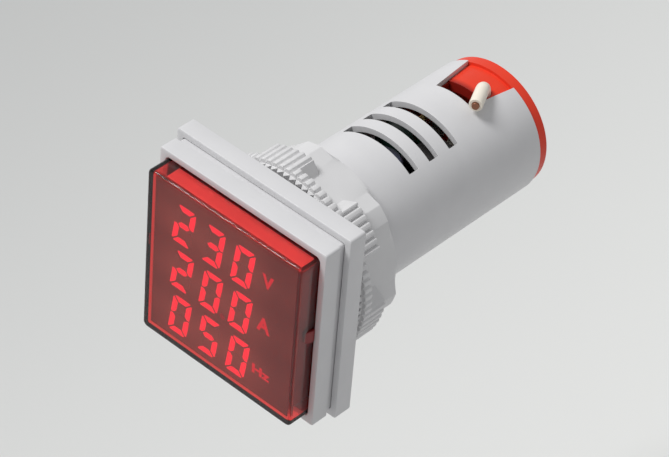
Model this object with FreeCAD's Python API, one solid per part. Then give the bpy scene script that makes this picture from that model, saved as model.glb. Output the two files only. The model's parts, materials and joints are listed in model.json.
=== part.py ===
# Panel-mount digital ammeter and voltmeter: a square lighted head in front of the panel, and a round
# threaded body with a ribbed nut, a vented tail and a terminal cap behind it.
# Millimetres. The origin is on the body's axis at the flange's rear face, where the panel meets it.
# +Y runs to the rear through the panel, +X to the right as the display is read, and +Z up.
import FreeCAD, Part
import math
import os

Vector = FreeCAD.Vector

# Fits between pieces
slip_gap = 0.1
seat_gap = 0.05
segment_gap = 0.03

# Flange and the square head in front of it
flange_side = 30.0
flange_depth = 2.75
flange_corner = 0.4
flange_wall = 1.0
flange_floor = 1.2
bezel_inset = 0.65
bezel_depth = 2.65
bezel_corner = 0.35
bezel_lip = 1.0
bezel_edge_round = 0.25
shadow_gap = 1.0
skirt_wall = 1.4
skirt_corner = 0.5

# Lens, a square cap open to the rear
lens_wall = 0.9
lens_front_wall = 0.7
lens_proud = 3.2
lens_seat_depth = 2.2
lens_corner = 0.7
lens_edge_round = 0.45

# Display block and its seven-segment digits
display_margin = 0.75
display_air = 0.16
face_plate_thick = 0.3
digit_width = 3.3
digit_stroke = 0.85
digit_slant = 8.0
digit_spacing = 5.17
digit_left_margin = 4.55
digit_edge_margin = 0.85
digit_row_gap = 1.3
digit_drop = 0.43
segment_split = 0.3
segment_depth = 0.6
segment_proud = 0.04
point_radius = 0.42
point_column = 1
display_rows = (("volt_digits", "230"), ("amp_digits", "200"), ("hertz_digits", "050"))
lit_segments = {"0": "abcdef", "2": "abdeg", "3": "abcdg", "5": "acdfg"}

# Neck, thread and tail behind the panel
neck_radius = 11.0
shoulder_length = 1.5
thread_relief = 0.25
neck_length = 11.4
neck_wall = 1.25
neck_step = 1.2
thread_chamfer = 0.35
tail_radius = 9.85
tail_wall = 0.9
tail_end = 41.5

# Vents on the top and bottom of the tail, and the window at its rear end
vent_count = 3
vent_width = 1.7
vent_spacing = 3.85
vent_first = 19.7
vent_half_angle = 36.5
window_front = 33.8
window_front_half = 3.0
window_rear_half = 4.0

# Gasket in its groove
gasket_clearance = 1.0
gasket_width = 1.6
gasket_proud = 0.6
groove_depth = 0.5

# Nut: a ribbed rim with a crown of teeth, six ribbed lugs and a hexagon
nut_gap = 1.0
nut_length = 9.1
nut_turn = 13.0
nut_wall = 1.0
nut_corner_cut = 0.63
nut_chamfer_length = 0.8
thread_gap = 0.05
relief_depth = 1.5
crown_height = 0.7
crown_inset = 0.6
crown_width = 1.2
rib_count = 80
rib_stand = 1.1
rib_depth = 0.4
rib_flat_share = 0.4
rim_thickness = 1.3
lug_height = 2.8
lug_half_angle = 13.0
lug_slope = 42.0

# Boards
board_thick = 1.2
rail_width = 1.15
rail_thick = 0.8
board_edge_gap = 0.17
main_board_top = -0.3
pin_side = 0.64
pin_spacing = 2.54
header_pins = 5
header_side = 2.5
header_tail = 3.2
display_pin_spacing = 1.27
display_pin_side = 0.5
display_pin_row = 8.5
display_pin_count = 5
display_pin_tail = 0.8

# Parts on the boards
chip_length = 9.9
chip_width = 3.9
chip_height = 1.5
chip_stand = 0.12
chip_lead_spacing = 1.27
chip_lead_width = 0.42
chip_lead_thick = 0.2
chip_lead_reach = 1.05
driver_centre_z = 4.9
controller_x = -3.5
controller_front = 5.5
bridge_x = 3.8
bridge_front = 7.0
bridge_length = 4.7
bridge_width = 4.0
bridge_height = 2.4
bridge_tab_width = 0.7
bridge_tab_thick = 0.25
filter_radius = 3.15
filter_x = 0.3
filter_y = 19.2
filter_foot = 0.9
filter_groove = 0.3
dropper_x = 2.9
dropper_front = 23.0
dropper_length = 7.0
dropper_width = 5.0
dropper_edge_round = 0.4
varistor_x = -3.0
varistor_y = 26.5
varistor_thick = 2.8
varistor_bevel = 0.7
varistor_stand = 0.5
resistor_x = 3.4
resistor_front = 14.0
resistor_length = 9.0
resistor_radius = 1.6
resistor_bevel = 0.5
resistor_wire_reach = 1.0
resistor_stand = 0.4
wire_radius = 0.3
part_room = 1.25

# Terminal cap
cap_ring_depth = 1.6
cap_ring_inset = 0.27
cap_plug_length = 7.3
cap_wall = 1.3
cap_floor_front = 39.1
cap_floor = 0.8
boss_front = 36.6
boss_rise = 0.2
well_barrier = 2.2
well_wall = 0.76
well_half_height = 3.2

# Terminals
plate_gap = 0.3
plate_thick = 0.8
leg_edge_gap = 0.55
leg_thick = 0.8
leg_height = 2.0
leg_front = 31.5
clamp_inset = 0.2
clamp_corner = 0.5
clamp_thick = 0.7
screw_radius = 1.45
screw_head_height = 1.5
screw_head_crown = 0.5
screw_length = 5.0
screw_hole_gap = 0.3
screw_slot_width = 0.6
screw_slot_depth = 0.7

# Lead to the current transformer: its route, from the main board through the cap's boss
lead_radius = 0.95
lead_core_radius = 0.5
lead_core_length = 3.0
lead_core_bare = 0.35
lead_x = 1.8
lead_start_y = 32.5
lead_hole_y = 38.0
lead_rise = 3.4
lead_slack = 2.05
lead_lift = 1.12
lead_end_x = 4.3
lead_end_y = 33.2
lead_end_lift = 1.59
lead_bends = (1.9, 1.9, 2.0)

# Levels along the axis, from the panel forwards
flange_front = -flange_depth
floor_face = -flange_floor
board_face = floor_face - board_thick
bezel_back = flange_front - shadow_gap
bezel_front = bezel_back - bezel_depth
lens_seat = bezel_front + lens_seat_depth
lens_front = bezel_front - lens_proud
block_face = lens_front + lens_front_wall + display_air

# Squares that fit into each other
pocket_side = flange_side - 2 * flange_wall
bezel_side = flange_side - 2 * bezel_inset
skirt_side = pocket_side - 2 * slip_gap
skirt_opening = skirt_side - 2 * skirt_wall
lens_opening = bezel_side - 2 * bezel_lip
lens_side = lens_opening - 2 * slip_gap
lens_inside = lens_side - 2 * lens_wall
board_side = skirt_opening - 2 * slip_gap
block_side = lens_inside - 2 * display_margin
digit_height = (block_side - 2 * digit_edge_margin - 2 * digit_row_gap) / 3
row_spacing = digit_height + digit_row_gap

# Radii and levels behind the panel
thread_radius = neck_radius - thread_relief
neck_bore = thread_radius - neck_wall
tail_bore = tail_radius - tail_wall
bore_step = neck_length - neck_step
vent_half_width = tail_radius * math.sin(math.radians(vent_half_angle))
gasket_rear = gasket_proud
gasket_inner = neck_radius + gasket_clearance
gasket_outer = gasket_inner + gasket_width
nut_tips = gasket_rear + nut_gap
nut_front = nut_tips + crown_height
nut_rear = nut_tips + nut_length
nut_bore = thread_radius + thread_gap
nut_flats = 2 * (nut_bore + nut_wall)
nut_corner_radius = nut_flats / 2 / math.cos(math.radians(30)) - nut_corner_cut
rib_radius = nut_corner_radius + rib_stand
crown_outer = rib_radius - crown_inset
crown_inner = crown_outer - crown_width
main_board_bottom = main_board_top - board_thick
main_board_half = math.sqrt(tail_bore ** 2 - main_board_bottom ** 2) - board_edge_gap
part_limit = tail_bore - part_room
filter_top = math.sqrt(part_limit ** 2 - (abs(filter_x) + filter_radius) ** 2)
dropper_top = math.sqrt(part_limit ** 2 - (dropper_x + dropper_width / 2) ** 2)
varistor_foot = main_board_top + varistor_stand
varistor_radius = (part_limit ** 2 - varistor_x ** 2 - varistor_foot ** 2) / 2 / (varistor_foot + part_limit)
header_rear = floor_face + header_side
cap_front = tail_end - cap_plug_length
cap_radius = tail_bore - seat_gap
cap_inside = cap_radius - cap_wall
cap_rear = tail_end + cap_ring_depth
boss_radius = cap_radius + boss_rise
well_floor = cap_floor_front + cap_floor
well_inner = well_barrier / 2
well_outer = math.sqrt((cap_radius - well_wall) ** 2 - well_half_height ** 2)
terminal_x = (well_inner + well_outer) / 2
plate_half = (well_outer - well_inner) / 2 - plate_gap
leg_outer = math.sqrt(cap_inside ** 2 - (main_board_top + leg_height) ** 2) - leg_edge_gap
leg_inner = leg_outer - leg_thick
clamp_half = plate_half - clamp_inset
screw_head_radius = clamp_half
plate_rear = well_floor + plate_thick
clamp_front = plate_rear + seat_gap
clamp_rear = clamp_front + clamp_thick
head_front = clamp_rear + seat_gap
head_rear = head_front + screw_head_height
through = 2 * tail_end
lead_low_z = cap_inside - lead_slack
lead_top_z = boss_radius + lead_lift
lead_end_z = math.sqrt((tail_radius + lead_end_lift) ** 2 - lead_end_x ** 2)


def box(x0, x1, y0, y1, z0, z1):
    """A block between two corners."""
    return Part.makeBox(x1 - x0, y1 - y0, z1 - z0, Vector(x0, y0, z0))


def rod(radius, y0, y1, x=0.0, z=0.0):
    """A round rod along the body's axis."""
    return Part.makeCylinder(radius, y1 - y0, Vector(x, y0, z), Vector(0, 1, 0))


def ring(outer, inner, y0, y1):
    """A flat ring round the body's axis."""
    return rod(outer, y0, y1).cut(rod(inner, y0, y1))


def turned(profile):
    """A solid turned about the body's axis from (radius, y) corners."""
    corners = [Vector(radius, y, 0) for radius, y in profile]
    face = Part.Face(Part.makePolygon(corners + corners[:1]))
    return face.revolve(Vector(0, 0, 0), Vector(0, 1, 0), 360)


def prism(outline, y0, y1):
    """A prism along the body's axis from (x, z) corners."""
    corners = [Vector(x, y0, z) for x, z in outline]
    face = Part.Face(Part.makePolygon(corners + corners[:1]))
    return face.extrude(Vector(0, y1 - y0, 0))


def polar(radius, degrees):
    """The (x, z) corner at a radius and an angle from +X towards +Z."""
    angle = math.radians(degrees)
    return radius * math.cos(angle), radius * math.sin(angle)


def square(side, corner, y0, y1):
    """A square prism along the body's axis with rounded corners."""
    half = side / 2
    block = box(-half, half, y0, y1, -half, half)
    upright = [e for e in block.Edges if abs(e.tangentAt(e.FirstParameter).y) > 0.99]
    return block.makeFillet(corner, upright)


def rounded_front(solid, radius):
    """The solid with the outer edges of its foremost face rounded."""
    front = solid.BoundBox.YMin
    edges = [e for e in solid.Edges if e.BoundBox.YMax < front + 1e-6]
    return solid.makeFillet(radius, edges)


def make_bezel_frame():
    """Square front frame: a lip round the lens, a ledge that it seats on, and a skirt in the flange."""
    frame = rounded_front(square(bezel_side, bezel_corner, bezel_front, bezel_back), bezel_edge_round)
    skirt = square(skirt_side, bezel_corner, bezel_back, floor_face)
    lens_hole = square(lens_opening, lens_corner + slip_gap, bezel_front, lens_seat)
    skirt_hole = square(skirt_opening, skirt_corner, lens_seat, floor_face)
    return frame.fuse(skirt).cut([lens_hole, skirt_hole]).removeSplitter()


def make_lens_cap():
    """Tinted square cap with rounded front edges, open to the rear."""
    shell = rounded_front(square(lens_side, lens_corner, lens_front, lens_seat), lens_edge_round)
    inside = square(lens_inside, lens_corner - lens_wall / 2, lens_front + lens_front_wall, lens_seat)
    return shell.cut(inside)


def segment_outline(name, grow):
    """One bar of a digit about its centre, with pointed ends, wider and longer by grow on every side."""
    half_stroke = digit_stroke / 2 + grow
    half_width = (digit_width - digit_stroke) / 2
    half_height = (digit_height - digit_stroke) / 2
    level = {"a": (0, 1, 0), "g": (0, 0, 0), "d": (0, -1, 0)}
    upright = {"b": (1, 0.5), "c": (1, -0.5), "e": (-1, -0.5), "f": (-1, 0.5)}
    if name in level:
        centre = (0.0, level[name][1] * half_height)
        half_length = half_width - segment_split + grow
        along, across = (1, 0), (0, 1)
    else:
        side, height = upright[name]
        centre = (side * half_width, height * half_height)
        half_length = half_height / 2 - segment_split + grow
        along, across = (0, 1), (1, 0)
    shoulder = half_length - half_stroke
    bar = [(-half_length, 0), (-shoulder, half_stroke), (shoulder, half_stroke)]
    bar += [(half_length, 0), (shoulder, -half_stroke), (-shoulder, -half_stroke)]
    points = []
    for run, rise in bar:
        x = centre[0] + run * along[0] + rise * across[0]
        z = centre[1] + run * along[1] + rise * across[1]
        points.append((x + z * math.tan(math.radians(digit_slant)), z))
    return points


def digit_places():
    """Each digit of the display as its row's name, its figure, and its centre's x and z."""
    first = digit_left_margin - block_side / 2
    for row, (name, figures) in enumerate(display_rows):
        for column, figure in enumerate(figures):
            yield name, figure, first + column * digit_spacing, (1 - row) * row_spacing - digit_drop


def bars(grow, y0, y1):
    """Every segment of every digit as (row name, lit, prism)."""
    for name, figure, x, z in digit_places():
        for letter in "abcdefg":
            outline = [(x + px, z + pz) for px, pz in segment_outline(letter, grow)]
            yield name, letter in lit_segments[figure], prism(outline, y0, y1)


def decimal_place():
    """The centre of the decimal point, after point_column's figure at the middle row's foot."""
    x = digit_left_margin - block_side / 2 + (point_column + 0.5) * digit_spacing
    drop = (digit_stroke - digit_height) / 2
    return x + drop * math.tan(math.radians(digit_slant)), drop - digit_drop


def make_display():
    """Display block with a wider face plate and a pocket for each segment, and the segments in them."""
    pocket_floor = block_face + segment_depth
    half = block_side / 2
    body = box(-half, half, block_face, board_face, -half, half)
    half = lens_inside / 2 - slip_gap
    plate = box(-half, half, block_face, block_face + face_plate_thick, -half, half)
    block = body.fuse(plate)
    pockets = [solid for name, lit, solid in bars(segment_gap, block_face, pocket_floor)]
    x, z = decimal_place()
    pockets.append(rod(point_radius + segment_gap, block_face, pocket_floor, x, z))
    pieces = {"display_block": block.cut(pockets)}
    groups = {name: [] for name, figures in display_rows}
    groups["unlit_segments"] = []
    for name, lit, solid in bars(0.0, block_face - segment_proud, pocket_floor):
        groups[name if lit else "unlit_segments"].append(solid)
    pieces.update({name: Part.makeCompound(solids) for name, solids in groups.items()})
    pieces["decimal_point"] = rod(point_radius, block_face - segment_proud, pocket_floor, x, z)
    return pieces


def display_pin_places():
    """The (x, z) places of the display's pins, in two rows."""
    for column in range(display_pin_count):
        x = (column - (display_pin_count - 1) / 2) * display_pin_spacing
        yield x, display_pin_row
        yield x, -display_pin_row


def header_pin_places():
    """The x places of the header's pins."""
    return [(column - (header_pins - 1) / 2) * pin_spacing for column in range(header_pins)]


def square_pin(x, z, side, y0, y1):
    """A square pin along the body's axis."""
    half = side / 2
    return box(x - half, x + half, y0, y1, z - half, z + half)


def header_pin_z():
    """The height of the header's pins, which lie on the main board."""
    return main_board_top + pin_side / 2


def make_display_board():
    """Square board behind the display block, with a hole for each pin."""
    board = square(board_side, skirt_corner, board_face, floor_face)
    room = display_pin_side + slip_gap
    holes = [square_pin(x, z, room, board_face, floor_face) for x, z in display_pin_places()]
    room = pin_side + slip_gap
    holes += [square_pin(x, header_pin_z(), room, board_face, floor_face) for x in header_pin_places()]
    return board.cut(holes)


def make_display_pins():
    """Short square pins from the display block through its board."""
    rear = floor_face + display_pin_tail
    pins = [square_pin(x, z, display_pin_side, board_face, rear) for x, z in display_pin_places()]
    return Part.makeCompound(pins)


def make_board_header():
    """Moulded strip with pins that carry the display board's signals onto the main board."""
    half = header_pins * pin_spacing / 2
    z = header_pin_z()
    strip = box(-half, half, floor_face, header_rear, z - header_side / 2, z + header_side / 2)
    rear = header_rear + header_tail
    pins = [square_pin(x, z, pin_side, board_face, rear) for x in header_pin_places()]
    return strip.fuse(pins)


def chip():
    """A flat-pack chip that lies on z = 0: its body along x and two rows of bent leads."""
    half_length = chip_length / 2
    half_width = chip_width / 2
    top = chip_stand + chip_height
    body = box(-half_length, half_length, -half_width, half_width, chip_stand, top)
    shoulder = chip_stand + chip_height / 2
    thin = chip_lead_thick
    knee = half_width + chip_lead_reach / 2
    leads = []
    count = int(chip_length / chip_lead_spacing)
    for place in range(count):
        x = (place - (count - 1) / 2) * chip_lead_spacing - chip_lead_width / 2
        for side in (1, -1):
            section = [(half_width, shoulder), (knee, shoulder), (knee, thin)]
            section += [(half_width + chip_lead_reach, thin), (half_width + chip_lead_reach, 0)]
            section += [(knee - thin, 0), (knee - thin, shoulder - thin), (half_width, shoulder - thin)]
            corners = [Vector(x, side * y, z) for y, z in section]
            face = Part.Face(Part.makePolygon(corners + corners[:1]))
            leads.append(face.extrude(Vector(chip_lead_width, 0, 0)))
    return body.fuse(leads)


def make_display_driver_chip():
    """The driver chip on the rear of the display board, above the header."""
    part = chip()
    part.rotate(Vector(0, 0, 0), Vector(1, 0, 0), -90)
    part.translate(Vector(0, floor_face, driver_centre_z))
    return part


def make_microcontroller_chip():
    """The measuring chip on top of the main board."""
    part = chip()
    part.rotate(Vector(0, 0, 0), Vector(0, 0, 1), 90)
    part.translate(Vector(controller_x, controller_front + chip_length / 2, main_board_top))
    return part


def make_main_board():
    """Long board in the tail's rails, from the header to the terminal cap."""
    return box(-main_board_half, main_board_half, header_rear, cap_front, main_board_bottom, main_board_top)


def make_bridge_rectifier():
    """Small flat rectifier with four tabs."""
    top = main_board_top
    half = bridge_width / 2
    rear = bridge_front + bridge_length
    body = box(bridge_x - half, bridge_x + half, bridge_front, rear, top, top + bridge_height)
    tabs = []
    width = bridge_tab_width
    for side in (-1, 1):
        for y in (bridge_front + width, rear - 2 * width):
            near, far = sorted((bridge_x + side * half, bridge_x + side * (half + width)))
            tabs.append(box(near, far, y, y + width, top, top + bridge_tab_thick))
    return body.fuse(tabs)


def make_filter_capacitor():
    """Standing round capacitor with a rolled groove near its foot."""
    groove = filter_groove
    foot = main_board_top + filter_foot
    profile = [(0, main_board_top), (filter_radius, main_board_top), (filter_radius, foot)]
    profile += [(filter_radius - groove, foot + groove), (filter_radius, foot + 2 * groove)]
    profile += [(filter_radius, filter_top - groove), (filter_radius - groove, filter_top), (0, filter_top)]
    corners = [Vector(filter_x + radius, filter_y, z) for radius, z in profile]
    face = Part.Face(Part.makePolygon(corners + corners[:1]))
    return face.revolve(Vector(filter_x, filter_y, 0), Vector(0, 0, 1), 360)


def make_dropper_capacitor():
    """Boxed film capacitor with rounded top edges."""
    x0 = dropper_x - dropper_width / 2
    rear = dropper_front + dropper_length
    top = dropper_top
    body = box(x0, x0 + dropper_width, dropper_front, rear, main_board_top, top)
    edges = [e for e in body.Edges if e.BoundBox.ZMin > top - 1e-6]
    return body.makeFillet(dropper_edge_round, edges)


def make_varistor():
    """Upright disc on two wire legs."""
    z = varistor_foot + varistor_radius
    half = varistor_thick / 2
    slope = varistor_bevel
    disc = turned([
        (0, varistor_y - half), (varistor_radius - slope, varistor_y - half),
        (varistor_radius, varistor_y - half + slope), (varistor_radius, varistor_y + half - slope),
        (varistor_radius - slope, varistor_y + half), (0, varistor_y + half)])
    disc.translate(Vector(varistor_x, 0, z))
    legs = []
    for side in (-1, 1):
        foot = Vector(varistor_x + side * varistor_radius / 2, varistor_y, main_board_top)
        legs.append(Part.makeCylinder(wire_radius, z - main_board_top, foot))
    return disc.fuse(legs)


def make_power_resistors():
    """Two round resistors under the main board, each on a bent wire at its ends."""
    z = main_board_bottom - resistor_stand - resistor_radius
    rear = resistor_front + resistor_length
    pieces = []
    for side in (-1, 1):
        x = side * resistor_x
        slope = resistor_bevel
        body = turned([
            (0, resistor_front), (resistor_radius - slope, resistor_front),
            (resistor_radius, resistor_front + slope), (resistor_radius, rear - slope),
            (resistor_radius - slope, rear), (0, rear)])
        body.translate(Vector(x, 0, z))
        bends = (resistor_front - resistor_wire_reach, rear + resistor_wire_reach)
        wires = [rod(wire_radius, bends[0], bends[1], x, z)]
        for y in bends:
            wires.append(Part.makeCylinder(wire_radius, main_board_bottom - z, Vector(x, y, z)))
        pieces.append(body.fuse(wires))
    return Part.makeCompound(pieces)


def window_outline(gap, front):
    """The window's plan from above, narrower by gap on each side, as (x, y) corners."""
    front_half = window_front_half - gap
    rear_half = window_rear_half - gap
    slope = (rear_half - front_half) / (tail_end - window_front)
    half = front_half + (front - window_front) * slope
    return [(-half, front), (half, front), (rear_half, tail_end), (-rear_half, tail_end)]


def plan_prism(outline, z0, z1):
    """An upright prism from (x, y) corners."""
    corners = [Vector(x, y, z0) for x, y in outline]
    face = Part.Face(Part.makePolygon(corners + corners[:1]))
    return face.extrude(Vector(0, 0, z1 - z0))


def make_board_rails():
    """Four ribs along the tail's bore that hold the main board's edges."""
    ribs = []
    inner = tail_bore - rail_width
    for side in (-1, 1):
        near, far = sorted((side * inner, side * (tail_bore + tail_wall / 2)))
        for z0 in (main_board_top + seat_gap, main_board_bottom - seat_gap - rail_thick):
            ribs.append(box(near, far, bore_step, cap_front, z0, z0 + rail_thick))
    return ribs


def make_body_housing():
    """One moulding: flange with its pocket, shoulder, threaded neck and vented tail."""
    flange = square(flange_side, flange_corner, flange_front, 0)
    shaft = turned([
        (0, floor_face), (neck_radius, floor_face), (neck_radius, shoulder_length),
        (thread_radius, shoulder_length), (thread_radius, neck_length - thread_chamfer),
        (thread_radius - thread_chamfer, neck_length), (tail_radius, neck_length),
        (tail_radius, tail_end), (0, tail_end)])
    pocket = square(pocket_side, flange_corner, flange_front, floor_face)
    bores = turned([
        (0, floor_face), (neck_bore, floor_face), (neck_bore, bore_step),
        (tail_bore, bore_step), (tail_bore, tail_end), (0, tail_end)])
    groove = ring(gasket_outer + slip_gap, gasket_inner - slip_gap, -groove_depth, 0)
    housing = flange.fuse(shaft).cut([pocket, bores, groove]).fuse(make_board_rails())
    cuts = [plan_prism(window_outline(0, window_front), 0, through)]
    above = main_board_top + 2 * rail_thick
    below = main_board_bottom - 2 * rail_thick
    for place in range(vent_count):
        y = vent_first + place * vent_spacing - vent_width / 2
        for z0, z1 in ((above, through), (-through, below)):
            cuts.append(box(-vent_half_width, vent_half_width, y, y + vent_width, z0, z1))
    return housing.cut(cuts).removeSplitter()


def make_panel_gasket():
    """Flat rubber ring in the groove of the flange's rear face."""
    return ring(gasket_outer, gasket_inner, -groove_depth, gasket_rear)


def ribbed_outline():
    """The rim's outline: flat-topped ribs with sloping sides."""
    pitch = 360 / rib_count
    half_flat = rib_flat_share * pitch / 2
    points = []
    for place in range(rib_count):
        middle = (place + 0.5) * pitch
        points.append(polar(rib_radius - rib_depth, middle - pitch / 2))
        points.append(polar(rib_radius, middle - half_flat))
        points.append(polar(rib_radius, middle + half_flat))
    return points


def lug_outline(corner):
    """The outline that keeps the ribs at one corner of the hexagon, with sloping sides down to the flats."""
    points = []
    beyond = 1.0
    for side in (-1, 1):
        flat = corner + 30 * side
        top = corner + lug_half_angle * side
        height = rib_radius * math.cos(math.radians(flat - top)) - nut_flats / 2
        along = rib_radius * math.sin(math.radians(30 - lug_half_angle))
        run = 1 / math.tan(math.radians(lug_slope))
        pair = []
        for rise in (height + beyond, -beyond):
            across = along - (height - rise) * run
            radial = nut_flats / 2 + rise
            turn = math.degrees(math.atan2(across, radial))
            pair.append(polar(math.hypot(radial, across), flat - side * turn))
        points += pair if side > 0 else pair[::-1]
    return points


def make_mounting_nut():
    """Plastic nut: ribbed rim with a crown of teeth, ribbed lugs at the six corners, chamfered hexagon."""
    corners = [nut_turn + 30 + 60 * k for k in range(6)]
    flats = [polar(nut_flats / 2 / math.cos(math.radians(30)), corner) for corner in corners]
    envelope = turned([
        (0, nut_front), (nut_corner_radius, nut_front),
        (nut_corner_radius, nut_rear - nut_chamfer_length), (nut_flats / 2, nut_rear), (0, nut_rear)])
    hexagon = prism(flats, nut_front, nut_rear).common(envelope)
    rim_rear = nut_front + rim_thickness
    rim = prism(ribbed_outline(), nut_front, rim_rear)
    lug_stock = prism(ribbed_outline(), rim_rear, rim_rear + lug_height)
    keepers = [prism(lug_outline(corner), rim_rear, rim_rear + lug_height) for corner in corners]
    lugs = lug_stock.common(keepers)
    crown = ring(crown_outer, crown_inner, nut_tips, nut_front)
    pitch = 360 / rib_count
    half = crown_outer * math.radians(pitch) / 2
    start = crown_inner - crown_width
    notches = []
    for place in range(rib_count):
        section = [Vector(start, nut_tips, -half), Vector(start, nut_tips, half), Vector(start, nut_front, 0)]
        face = Part.Face(Part.makePolygon(section + section[:1]))
        notch = face.extrude(Vector(3 * crown_width, 0, 0))
        notch.rotate(Vector(0, 0, 0), Vector(0, 1, 0), -pitch * place)
        notches.append(notch)
    crown = crown.cut(notches)
    bore = rod(nut_bore, nut_tips, nut_rear)
    relief = rod(neck_radius + slip_gap, nut_tips, nut_front + relief_depth)
    return rim.fuse([hexagon, lugs, crown]).cut([bore, relief]).removeSplitter()


def make_terminal_cap():
    """Plug with a rim ring, a notch and a boss in the tail's window, and two wells for the terminals."""
    solid = turned([
        (0, cap_front), (cap_radius, cap_front), (cap_radius, tail_end),
        (tail_radius - cap_ring_inset, tail_end), (tail_radius - cap_ring_inset, cap_rear), (0, cap_rear)])
    boss = rod(boss_radius, boss_front, tail_end).common(
        plan_prism(window_outline(slip_gap, boss_front), cap_inside, through))
    cuts = [rod(cap_inside, cap_front, cap_floor_front)]
    cuts.append(box(-window_front_half, window_front_half, cap_front, boss_front, lead_low_z, through))
    cuts.append(Part.makeCylinder(lead_radius + slip_gap, through, Vector(lead_x, lead_hole_y, lead_low_z)))
    for side in (-1, 1):
        near, far = sorted((side * well_inner, side * well_outer))
        cuts.append(box(near, far, well_floor, cap_rear, -well_half_height, well_half_height))
        cuts.append(rod(screw_radius + screw_hole_gap, cap_floor_front, well_floor, side * terminal_x))
        near, far = sorted((side * (leg_inner - slip_gap), side * (leg_outer + slip_gap)))
        low = main_board_top - slip_gap
        high = main_board_top + leg_height + slip_gap
        cuts.append(box(near, far, cap_floor_front, well_floor, low, high))
    return solid.fuse(boss).cut(cuts).removeSplitter()


def make_terminal_plate(side):
    """Brass plate on the well's floor, with a threaded hole and a leg to the main board."""
    x = side * terminal_x
    plate = box(x - plate_half, x + plate_half, well_floor, plate_rear, -plate_half, plate_half)
    near, far = sorted((side * leg_inner, side * leg_outer))
    leg = box(near, far, leg_front, well_floor, main_board_top, main_board_top + leg_height)
    hole = rod(screw_radius + seat_gap, well_floor, plate_rear, x)
    return plate.fuse(leg).cut(hole).removeSplitter()


def make_clamp_plate(side):
    """Square clamp with rounded corners under the screw's head."""
    x = side * terminal_x
    plate = box(x - clamp_half, x + clamp_half, clamp_front, clamp_rear, -clamp_half, clamp_half)
    upright = [e for e in plate.Edges if abs(e.tangentAt(e.FirstParameter).y) > 0.99]
    hole = rod(screw_radius + slip_gap, clamp_front, clamp_rear, x)
    return plate.makeFillet(clamp_corner, upright).cut(hole)


def make_terminal_screw(side):
    """Pan-head screw with a slot."""
    x = side * terminal_x
    head = turned([
        (0, head_front), (screw_head_radius, head_front),
        (screw_head_radius, head_rear - screw_head_crown),
        (screw_head_radius - screw_head_crown, head_rear), (0, head_rear)])
    head.translate(Vector(x, 0, 0))
    shank = rod(screw_radius, head_front - screw_length, head_front, x)
    half = screw_slot_width / 2
    slot_floor = head_rear - screw_slot_depth
    slot = box(x - screw_head_radius, x + screw_head_radius, slot_floor, head_rear, -half, half)
    return head.fuse(shank).cut(slot)


def lead_route():
    """The corners of the lead's centre line, from the main board through the boss to its cut end."""
    return [
        Vector(lead_x, lead_start_y, main_board_top), Vector(lead_x, lead_start_y, lead_rise),
        Vector(lead_x, lead_hole_y, lead_low_z), Vector(lead_x, lead_hole_y, lead_top_z),
        Vector(lead_end_x, lead_end_y, lead_end_z)]


def lead_edges():
    """The lead's centre line: straight runs joined by arcs."""
    route = lead_route()
    edges = []
    start = route[0]
    for index, radius in enumerate(lead_bends):
        corner = route[index + 1]
        back = (route[index] - corner).normalize()
        ahead = (route[index + 2] - corner).normalize()
        half_turn = (math.pi - back.getAngle(ahead)) / 2
        reach = radius * math.tan(half_turn)
        middle = corner + (back + ahead).normalize() * (radius / math.cos(half_turn) - radius)
        edges.append(Part.makeLine(start, corner + back * reach))
        edges.append(Part.Arc(corner + back * reach, middle, corner + ahead * reach).toShape())
        start = corner + ahead * reach
    edges.append(Part.makeLine(start, route[-1]))
    return edges


def make_lead():
    """The lead's sleeve, a cylinder for each run and part of a ring for each bend, and its bared core.

    The core is made only where the cut end shows it.
    """
    runs = []
    for edge in lead_edges():
        start = edge.valueAt(edge.FirstParameter)
        ahead = edge.tangentAt(edge.FirstParameter)
        if edge.Curve.TypeId == "Part::GeomCircle":
            face = Part.Face(Part.Wire(Part.makeCircle(lead_radius, start, ahead)))
            sweep = math.degrees(edge.LastParameter - edge.FirstParameter)
            runs.append(face.revolve(edge.Curve.Center, edge.Curve.Axis, sweep))
        else:
            runs.append(Part.makeCylinder(lead_radius, edge.Length, start, ahead))
    top, end = lead_route()[-2:]
    ahead = (end - top).normalize()
    core_start = end - ahead * lead_core_length
    core = Part.makeCylinder(lead_core_radius, lead_core_length + lead_core_bare, core_start, ahead)
    sleeve = runs[0].fuse(runs[1:]).cut(core)
    return {"current_lead_sleeve": sleeve, "current_lead_core": core}


def make_pieces():
    """Every piece by its node's name."""
    pieces = {
        "lens_cap": make_lens_cap(),
        "bezel_frame": make_bezel_frame(),
        "body_housing": make_body_housing(),
        "panel_gasket": make_panel_gasket(),
        "mounting_nut": make_mounting_nut(),
        "display_board": make_display_board(),
        "display_pins": make_display_pins(),
        "display_driver_chip": make_display_driver_chip(),
        "board_header": make_board_header(),
        "main_board": make_main_board(),
        "microcontroller_chip": make_microcontroller_chip(),
        "bridge_rectifier": make_bridge_rectifier(),
        "filter_capacitor": make_filter_capacitor(),
        "dropper_capacitor": make_dropper_capacitor(),
        "varistor": make_varistor(),
        "power_resistors": make_power_resistors(),
        "terminal_cap": make_terminal_cap(),
    }
    pieces.update(make_display())
    pieces.update(make_lead())
    for label, side in (("left", -1), ("right", 1)):
        pieces["terminal_plate_" + label] = make_terminal_plate(side)
        pieces["clamp_plate_" + label] = make_clamp_plate(side)
        pieces["terminal_screw_" + label] = make_terminal_screw(side)
    return pieces


os.makedirs("parts", exist_ok=True)
for node, shape in make_pieces().items():
    shape.exportStep("parts/" + node + ".step")
    print(node, "solids", len(shape.Solids), "volume", round(shape.Volume, 2), "valid", shape.isValid())
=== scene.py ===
import json
import math
import bmesh
import bpy
import numpy as np
from mathutils import Matrix, Vector


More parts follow.
